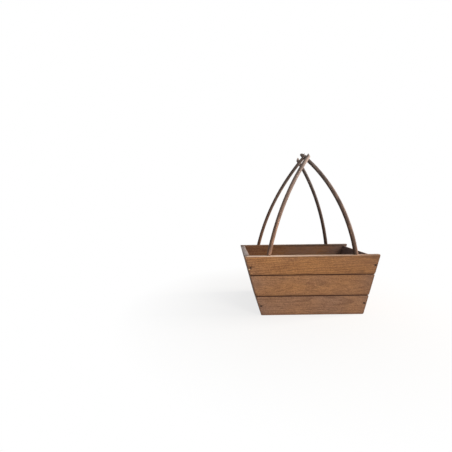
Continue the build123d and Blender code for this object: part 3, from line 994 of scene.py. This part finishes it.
def willow_bark(name, settings):
    """Willow bark left on the rod and stained with the boards: smooth, a little waxy, in long grey-brown
    streaks, rubbed paler in patches, with darker bud scars, and with painted light and shade: lighter on the
    side that faces +X, towards the lamps, and darker on the side away from them."""
    material, tree = new_material(name)
    section = add(tree, ATTRIBUTE, {"attribute_name": "section"}).outputs["Vector"]
    along, scar, cut, paleness, share = (
        add(tree, ATTRIBUTE, {"attribute_name": label}).outputs["Fac"]
        for label in ("along", "scar", "cut", "paleness", "share")
    )
    ring = add(tree, VECTOR_MATH, {"operation": "SCALE", "Scale": settings.girth}, section)
    run = add(tree, "ShaderNodeCombineXYZ", {"Z": along})
    place = add(tree, VECTOR_MATH, "ADD", ring, run)
    streaks, patches, spots = (
        patterned(tree, place, size, detail, 0.6)
        for size, detail in ((STREAK_SIZE, 4.0), (PATCH_SIZE, 2.0), (SPECK_SIZE, 2.0))
    )
    furrows = add(tree, MAP_RANGE, {"From Min": 0.5, "From Max": 0.7, "To Max": 0.8, "Value": streaks})
    specks = add(tree, MAP_RANGE, {"From Min": 0.62, "From Max": 0.74, "To Max": 0.6, "Value": spots})
    rubbed = add(tree, MAP_RANGE, {"From Min": 0.5, "From Max": 0.68, "To Max": 0.75, "Value": patches})
    tip = {"From Min": 0.92, "From Max": 0.98, "To Max": TIP_PALENESS}
    rubbed_tip = add(tree, MAP_RANGE, {**tip, "Value": share, "To Min": paleness})
    pale = add(tree, MATH, {"operation": "ADD", "use_clamp": True}, rubbed, rubbed_tip)
    layers = [(pale, settings.pale_bark)]
    layers += [(darkness, settings.dark_bark) for darkness in (furrows, specks, scar)]
    layers += [(cut, settings.cut_wood)]

    # How light and how brown the bark is by the side that it faces, and towards its tip: the side that faces
    # +X, towards the lamps, is painted light and the side away is painted shade
    facing = add(tree, "ShaderNodeTexCoord").outputs["Normal"]
    toward_lamps = add(tree, "ShaderNodeSeparateXYZ", {}, facing).outputs["X"]
    painted_side_light = {"From Min": -0.9, "From Max": 0.9, "To Min": 0.46, "To Max": 1.42}
    painted_light_and_shade = add(tree, MAP_RANGE, {**painted_side_light, "Value": toward_lamps})
    stained = add(tree, MAP_RANGE, {"From Min": -1.0, "From Max": 0.0, "To Min": 0.8, "Value": rubbed_tip})
    tone_and_painted_light = {
        "Saturation": add(tree, MAP_RANGE, {"To Min": 1.1, "To Max": 0.5, "Value": share}),
        "Value": add(tree, MATH, "MULTIPLY", painted_light_and_shade, stained),
        "Color": layered(tree, settings.bark, layers),
    }
    gloss = {"From Min": 0.3, "From Max": 0.7, "To Min": 0.4, "To Max": 0.6}
    look = {
        "IOR": 1.45,
        "Specular IOR Level": 0.12,
        "Base Color": add(tree, "ShaderNodeHueSaturation", tone_and_painted_light),
        "Roughness": add(tree, MAP_RANGE, {**gloss, "Value": streaks}),
        "Normal": add(tree, "ShaderNodeBump", {"Strength": 0.5, "Distance": 0.4 * MM, "Height": streaks}),
    }
    add(tree, "ShaderNodeOutputMaterial", {"Surface": add(tree, "ShaderNodeBsdfPrincipled", look)})
    return material


# How pale the bark of each rod is, and how pale hands have rubbed all four tips
TIP_PALENESS = 0.6
RODS = {"front_left": 0.5, "front_right": 0.1, "back_left": 0.45, "back_right": -1.0}
# Bud scars for each square metre of bark
SCAR_DENSITY = 330.0


class TRUG_OT_handle_rods(bpy.types.Operator):
    """Grows the four bent rods of the handle, each along the arc of its solid"""

    bl_idname = "trug.handle_rods"
    bl_label = "Handle rods"
    bl_options = {"REGISTER", "UNDO"}

    def execute(self, context):
        settings = context.scene.trug_rods
        tree = bent_rod_tree()
        bark = willow_bark("stained_willow_bark", settings)
        for number, (rod, paleness) in enumerate(RODS.items()):
            node = f"handle_rod_{rod}"
            foot, middle, tip, facing, (foot_radius, tip_radius) = measured_rod(node)
            values = {
                "Foot": foot,
                "Middle": middle,
                "Tip": tip,
                "Cut Facing": facing,
                "Foot Radius": foot_radius,
                "Tip Radius": tip_radius,
                "Rings": settings.rings,
                "Sides": settings.sides,
                "Bark Relief": settings.bark_relief,
                "Scar Size": settings.scar_size,
                "Scar Density": SCAR_DENSITY,
                "Tenon Radius": settings.tenon_radius,
                "Tenon Length": BOX_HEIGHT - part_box(node)[0].z,
                "Paleness": paleness,
                "Seed": number + 1,
                "Bark": bark,
            }
            new_piece(f"{node}_bark", grown_mesh(node, tree, values), bark, [node])
        return {"FINISHED"}


# Nails

SHANK_SIDES = 16
HEAD_SIDES = 24
# Length of a shank's rings, radius at its very point, and the size of a head's rim as shares of the head
SHANK_STEP = 0.8 * MM
POINT_RADIUS = 0.04 * MM
RIM_RADIUS, RIM_THICKNESS = 0.82, 0.25


def wire_nail_tree():
    """Wire nails: each edge of the start mesh runs from a head to a point, and gets a shank that
    narrows to its point and a flat head with a rounded edge."""
    tree, given = node_tree(
        "wire_nail",
        {
            "NodeSocketGeometry": ("Lines",),
            "NodeSocketFloat": ("Shank Radius", "Head Radius", "Head Thickness", "Point Length"),
            "NodeSocketMaterial": ("Steel",),
        },
    )
    line = add(tree, "GeometryNodeMeshToCurve", {"Mesh": given["Lines"]})
    fine = add(tree, "GeometryNodeResampleCurve", {"mode": "LENGTH", "Length": SHANK_STEP, "Curve": line})
    along = add(tree, "GeometryNodeSplineParameter").outputs["Length"]
    spline = add(tree, "GeometryNodeSplineLength")
    left = add(tree, MATH, "SUBTRACT", spline, along)
    point = {"To Min": POINT_RADIUS, "From Max": given["Point Length"], "To Max": given["Shank Radius"]}
    narrowing = add(tree, MAP_RANGE, {**point, "Value": left})
    circle = add(tree, "GeometryNodeCurvePrimitiveCircle", {"Resolution": SHANK_SIDES, "Radius": 1.0})
    sweep = {"Fill Caps": True, "Curve": fine, "Profile Curve": circle, "Scale": narrowing}
    shank = add(tree, "GeometryNodeCurveToMesh", sweep)

    # The head: a flat disc and, on its outer side, a narrower rim that rounds its edge
    disc_size = {"Radius": given["Head Radius"], "Depth": given["Head Thickness"]}
    disc = add(tree, "GeometryNodeMeshCylinder", {"Vertices": HEAD_SIDES, **disc_size})
    half = add(tree, MATH, "MULTIPLY", given["Head Thickness"], 0.5)
    inwards = add(tree, "ShaderNodeCombineXYZ", {"Z": half})
    sunk_disc = add(tree, "GeometryNodeTransform", {"Geometry": disc, "Translation": inwards})
    rim_size = {
        "Radius Top": add(tree, MATH, "MULTIPLY", given["Head Radius"], RIM_RADIUS),
        "Radius Bottom": given["Head Radius"],
        "Depth": add(tree, MATH, "MULTIPLY", given["Head Thickness"], RIM_THICKNESS),
    }
    rim = add(tree, "GeometryNodeMeshCone", {"Vertices": HEAD_SIDES, **rim_size})
    turned = add(tree, "GeometryNodeTransform", {"Rotation": (math.pi, 0.0, 0.0), "Geometry": rim})
    tangent = add(tree, "GeometryNodeInputTangent")
    heads = add(
        tree,
        "GeometryNodeInstanceOnPoints",
        {
            "Points": fine,
            "Selection": add(tree, "GeometryNodeCurveEndpointSelection", {"Start Size": 1, "End Size": 0}),
            "Instance": add(tree, "GeometryNodeJoinGeometry", {}, [turned, sunk_disc]),
            "Rotation": add(tree, "FunctionNodeAlignRotationToVector", {"axis": "Z", "Vector": tangent}),
        },
    )
    return finish_tree(tree, [heads, shank], given["Steel"])


RUST_SPOT = 1.111 * MM


def dull_steel(name, settings):
    """Drawn mild steel wire, dulled outdoors: dark grey with a weak shine and the first brown of rust."""
    material, tree = new_material(name)
    place = add(tree, "ShaderNodeTexCoord").outputs["Object"]
    pattern = add(tree, NOISE, {"Scale": 1 / RUST_SPOT, "Detail": 3.0, "Vector": place})
    share = add(tree, MAP_RANGE, {"From Min": 0.4, "From Max": 0.65, "To Max": 0.85, "Value": pattern})
    look = {
        "Metallic": 0.25,
        "Specular IOR Level": 0.15,
        "Base Color": layered(tree, settings.steel, [(share, settings.rust)]),
        "Roughness": add(tree, MAP_RANGE, {"To Min": 0.38, "To Max": 0.7, "Value": share}),
        "Normal": add(tree, "ShaderNodeBump", {"Strength": 0.4, "Distance": 0.1 * MM, "Height": pattern}),
    }
    add(tree, "ShaderNodeOutputMaterial", {"Surface": add(tree, "ShaderNodeBsdfPrincipled", look)})
    return material


def driven_nails(node, tree, steel, settings, shank_radius, head_radius, lift=0.0):
    """The nails of one node, each along the line of its solid, its head lifted clear of the wood."""
    lines = nail_lines(node)
    corners = []
    for head, point in lines:
        corners += [head + (head - point).normalized() * lift, point]
    start = bpy.data.meshes.new(node)
    start.from_pydata(corners, [(2 * number, 2 * number + 1) for number in range(len(lines))], [])
    values = {
        "Shank Radius": shank_radius,
        "Head Radius": head_radius,
        "Head Thickness": settings.head_thickness,
        "Point Length": settings.point_length,
        "Steel": steel,
    }
    new_piece(f"{node}_steel", grown_mesh(node, tree, values, start), steel, [node])


class TRUG_OT_box_nails(bpy.types.Operator):
    """Drives the nails that hold the corners and the floor of the box"""

    bl_idname = "trug.box_nails"
    bl_label = "Box nails"
    bl_options = {"REGISTER", "UNDO"}

    def execute(self, context):
        settings = context.scene.trug_nails
        radii = (settings.box_shank_radius, settings.box_head_radius)
        tree = wire_nail_tree()
        steel = dull_steel("dull_wire_steel_box", settings)
        for node in ("front_corner_nails", "back_corner_nails", "left_base_nails", "right_base_nails"):
            driven_nails(node, tree, steel, settings, *radii)
        return {"FINISHED"}


class TRUG_OT_crossing_nails(bpy.types.Operator):
    """Drives the nails that hold the rods where they cross"""

    bl_idname = "trug.crossing_nails"
    bl_label = "Crossing nails"
    bl_options = {"REGISTER", "UNDO"}

    def execute(self, context):
        settings = context.scene.trug_nails
        radii = (settings.rod_shank_radius, settings.rod_head_radius)
        steel = dull_steel("dull_wire_steel_rods", settings)
        driven_nails("crossing_nails", wire_nail_tree(), steel, settings, *radii, settings.rod_head_lift)
        return {"FINISHED"}


# Studio


def looking_rays(tree):
    """1 for the rays that the camera, a reflection or a refraction sends, 0 for the rest."""
    rays = add(tree, "ShaderNodeLightPath").outputs
    reflected = add(tree, MATH, "MAXIMUM", rays["Is Glossy Ray"], rays["Is Transmission Ray"])
    return add(tree, MATH, "MAXIMUM", rays["Is Camera Ray"], reflected)


def studio_floor(name, settings):
    """A matt pale floor that keeps the trug's shadow near it and fades to plain white further out."""
    material, tree = new_material(name)
    place = add(tree, "ShaderNodeTexCoord").outputs["Object"]
    distance = add(tree, VECTOR_MATH, "LENGTH", place)
    fade = add(tree, MAP_RANGE, {"From Min": 0.2, "From Max": 0.6, "To Min": 0.78, "Value": distance})
    white_share = add(tree, MATH, "MULTIPLY", fade, looking_rays(tree))
    matt = add(tree, "ShaderNodeBsdfDiffuse", {"Color": settings.floor})
    white = add(tree, "ShaderNodeEmission", {"Strength": 1.0})
    mixed = add(tree, "ShaderNodeMixShader", {}, white_share, matt, white)
    add(tree, "ShaderNodeOutputMaterial", {"Surface": mixed})
    return material


def soft_lamp(name, place, aim, size, power, colour):
    """A square soft light that points at a place."""
    light = bpy.data.lights.new(name, "AREA")
    light.shape = "SQUARE"
    light.size = size
    light.energy = power
    light.color = linear(colour)[:3]
    lamp = placed(name, light)
    lamp.location = place
    lamp.rotation_euler = (Vector(aim) - Vector(place)).to_track_quat("-Z", "Y").to_euler()


def white_surround(strength):
    """A world that lights evenly and is plain white to the camera and in reflections."""
    world = bpy.data.worlds.new("white_surround")
    world.use_nodes = True
    tree = world.node_tree
    tree.nodes.clear()
    level = add(tree, MAP_RANGE, {"To Min": strength, "To Max": 1.0, "Value": looking_rays(tree)})
    background = add(tree, "ShaderNodeBackground", {"Color": (1, 1, 1, 1), "Strength": level})
    output = add(tree, "ShaderNodeOutputWorld", {"Surface": background})
    output.is_active_output = True
    bpy.context.scene.world = world


SENSOR_WIDTH = 36.0
FLOOR_RADIUS = 6.0
FLOOR_SIDES = 96
SURROUND_STRENGTH = 0.2
# Each lamp's place, width in metres, power in watts and colour
LAMPS = {
    "key": ((2.9, -4.1, 3.1), 2.2, 122.0, "#FFF8F0"),
    "front_fill": ((0.5, -2.9, 0.9), 1.6, 8.0, "#F4F6FF"),
    "low_front": ((-0.1, -1.9, 0.14), 0.26, 10.0, "#FFF8F0"),
    "side": ((2.4, 0.1, 1.1), 0.7, 80.0, "#FFF4EA"),
}


class TRUG_OT_studio(bpy.types.Operator):
    """Lays the floor, hangs the lamps and sets up the camera"""

    bl_idname = "trug.studio"
    bl_label = "Studio"
    bl_options = {"REGISTER", "UNDO"}

    def execute(self, context):
        settings = context.scene.trug_studio
        disc = bmesh.new()
        bmesh.ops.create_circle(disc, cap_ends=True, radius=FLOOR_RADIUS, segments=FLOOR_SIDES)
        mesh = bpy.data.meshes.new("floor")
        disc.to_mesh(mesh)
        disc.free()
        mesh.materials.append(studio_floor("matt_floor", settings))
        floor = placed("floor", mesh)

        aim = (0.0, 0.0, BOX_HEIGHT)
        for name, (place, size, power, colour) in LAMPS.items():
            soft_lamp(name, place, aim, size, power, colour)
        white_surround(SURROUND_STRENGTH)

        lens = bpy.data.cameras.new("camera")
        lens.sensor_fit = "AUTO"
        lens.sensor_width = SENSOR_WIDTH
        lens.lens = settings.lens
        camera = placed("camera", lens)
        camera.matrix_world = (
            Matrix.Translation(settings.camera_place)
            @ Matrix.Rotation(settings.camera_yaw, 4, "Z")
            @ Matrix.Rotation(math.pi / 2 - settings.camera_pitch, 4, "X")
            @ Matrix.Rotation(settings.camera_roll, 4, "Z")
        )
        context.scene.camera = camera
        context.scene.view_settings.view_transform = "Standard"
        return {"FINISHED"}


# Panel and registration

OPERATORS = (
    TRUG_OT_studio,
    TRUG_OT_front_boards,
    TRUG_OT_back_boards,
    TRUG_OT_left_end_boards,
    TRUG_OT_right_end_boards,
    TRUG_OT_base_boards,
    TRUG_OT_handle_rods,
    TRUG_OT_box_nails,
    TRUG_OT_crossing_nails,
)
SETTINGS = {
    "trug_boards": TrugBoardSettings,
    "trug_rods": TrugRodSettings,
    "trug_nails": TrugNailSettings,
    "trug_studio": TrugStudioSettings,
}


class TRUG_PT_panel(bpy.types.Panel):
    """Lists the trug's pieces and their sizes and colours"""

    bl_idname = "TRUG_PT_panel"
    bl_label = "Garden trug"
    bl_space_type = "VIEW_3D"
    bl_region_type = "UI"
    bl_category = "Trug"

    def draw(self, context):
        for operator in OPERATORS:
            self.layout.operator(operator.bl_idname)
        for name in SETTINGS:
            group = getattr(context.scene, name)
            box = self.layout.box()
            for key in group.__annotations__:
                box.prop(group, key)


def register():
    for kind in (*SETTINGS.values(), *OPERATORS, TRUG_PT_panel):
        bpy.utils.register_class(kind)
    for name, kind in SETTINGS.items():
        setattr(bpy.types.Scene, name, PointerProperty(type=kind))


def unregister():
    for name in SETTINGS:
        delattr(bpy.types.Scene, name)
    for kind in reversed((*SETTINGS.values(), *OPERATORS, TRUG_PT_panel)):
        bpy.utils.unregister_class(kind)


def main():
    """Builds the trug and its studio."""
    register()
    for operator in OPERATORS:
        group, name = operator.bl_idname.split(".")
        getattr(getattr(bpy.ops, group), name)()


if __name__ == "__main__":
    main()
